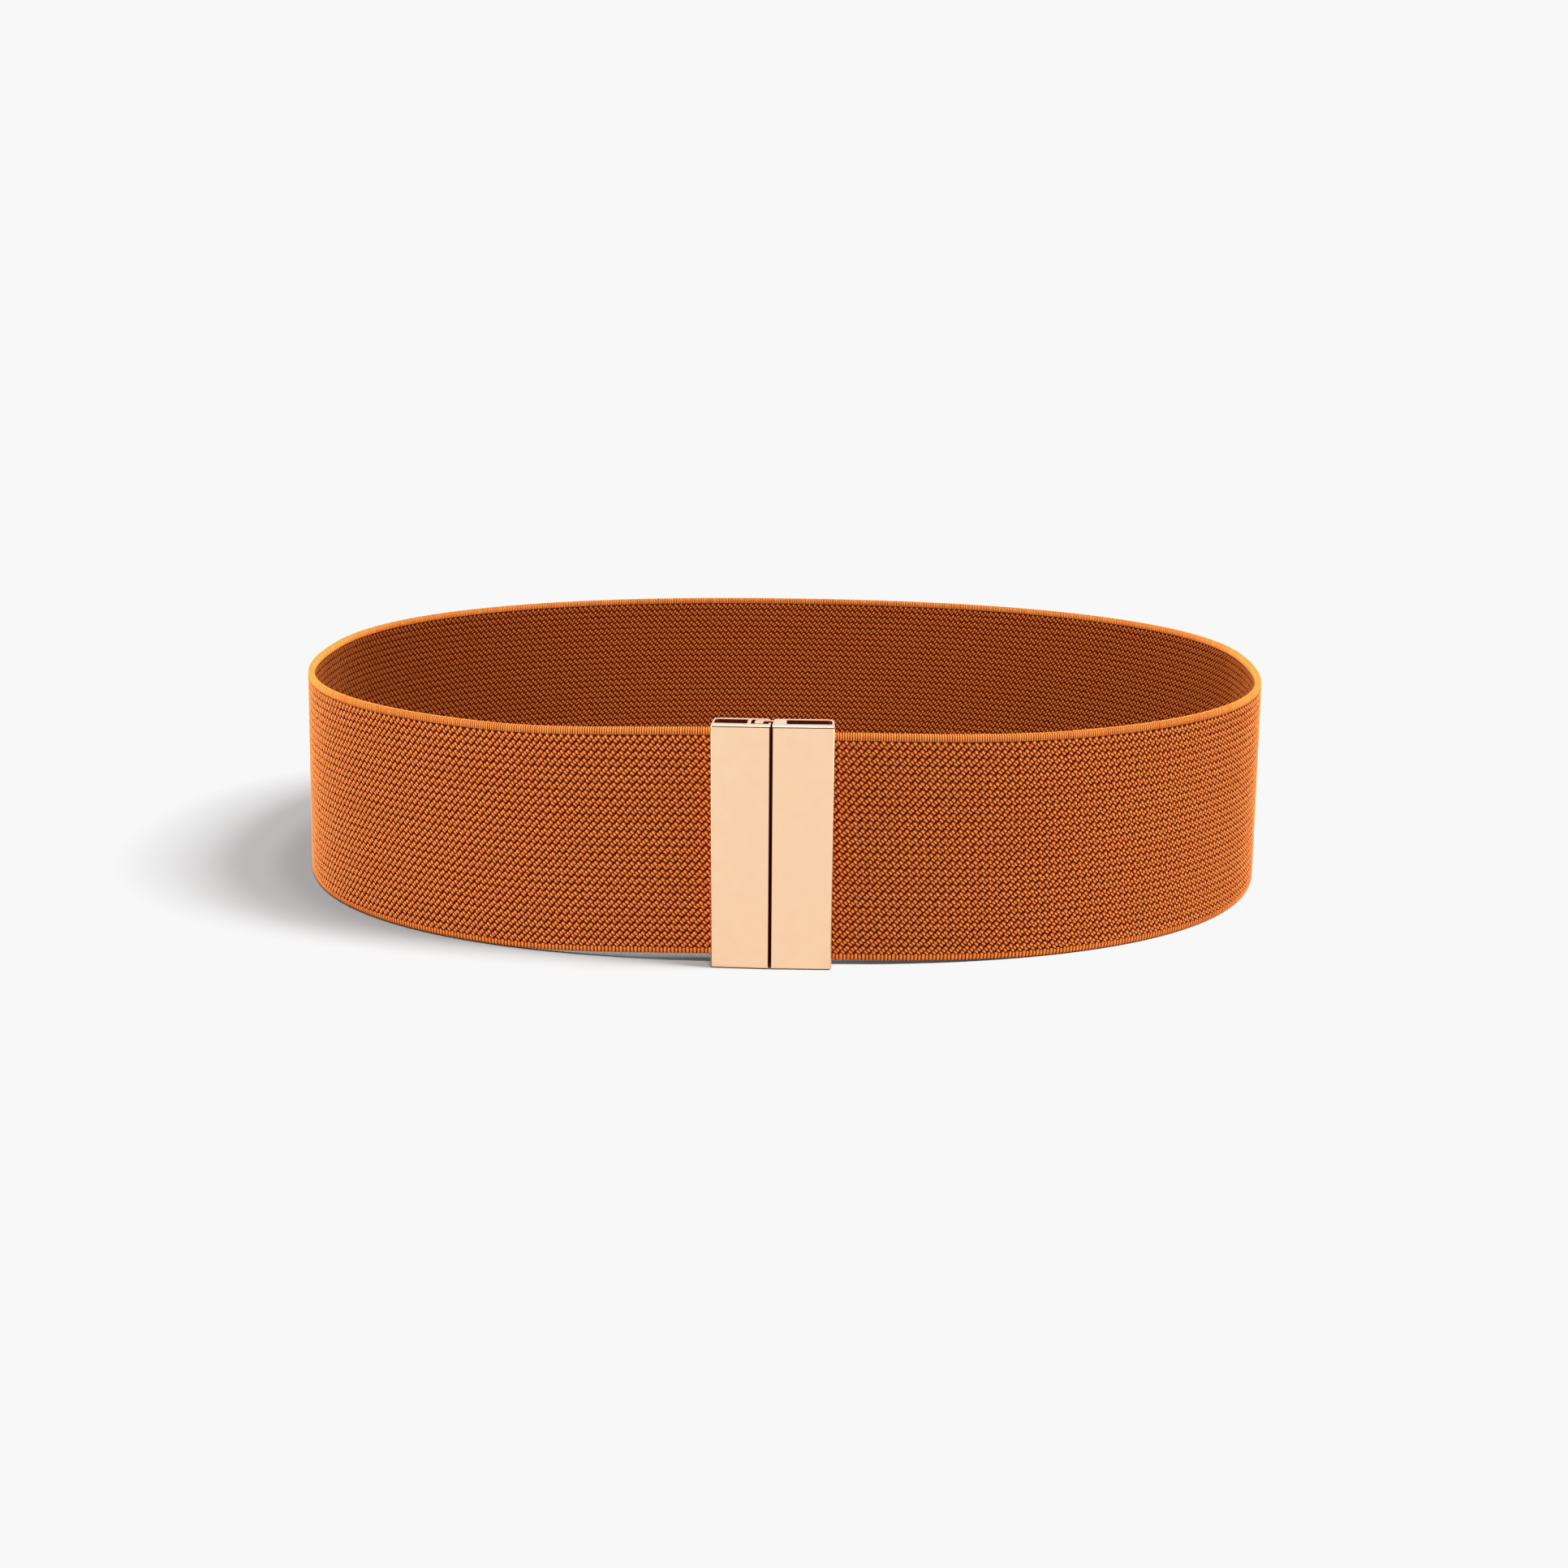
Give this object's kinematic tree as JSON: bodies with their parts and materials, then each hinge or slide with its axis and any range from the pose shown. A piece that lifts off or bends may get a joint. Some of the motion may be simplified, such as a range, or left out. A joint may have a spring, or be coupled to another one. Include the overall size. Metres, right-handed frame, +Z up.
{
  "type": "elastic stretch belt",
  "caption": "Wide elastic stretch belt: a woven elastic webbing loop standing on its edge, closed in front by a flat interlocking metal clasp.",
  "frame": {"origin": "on the floor, at the middle of the whole belt in plan", "axes": "+Z up, across the webbing; the clasp faces -Y; +X along the loop's longest way across"},
  "size_m": [0.286, 0.2336, 0.0637],
  "materials": {
    "webbing": "matt woven elastic, cognac orange-brown",
    "clasp_metal": "satin rose gold plating"
  },
  "bodies": {
    "root": {"elastic_band": "webbing", "clasp_socket_half": "clasp_metal", "clasp_hook_half": "clasp_metal"}
  },
  "joints": []
}
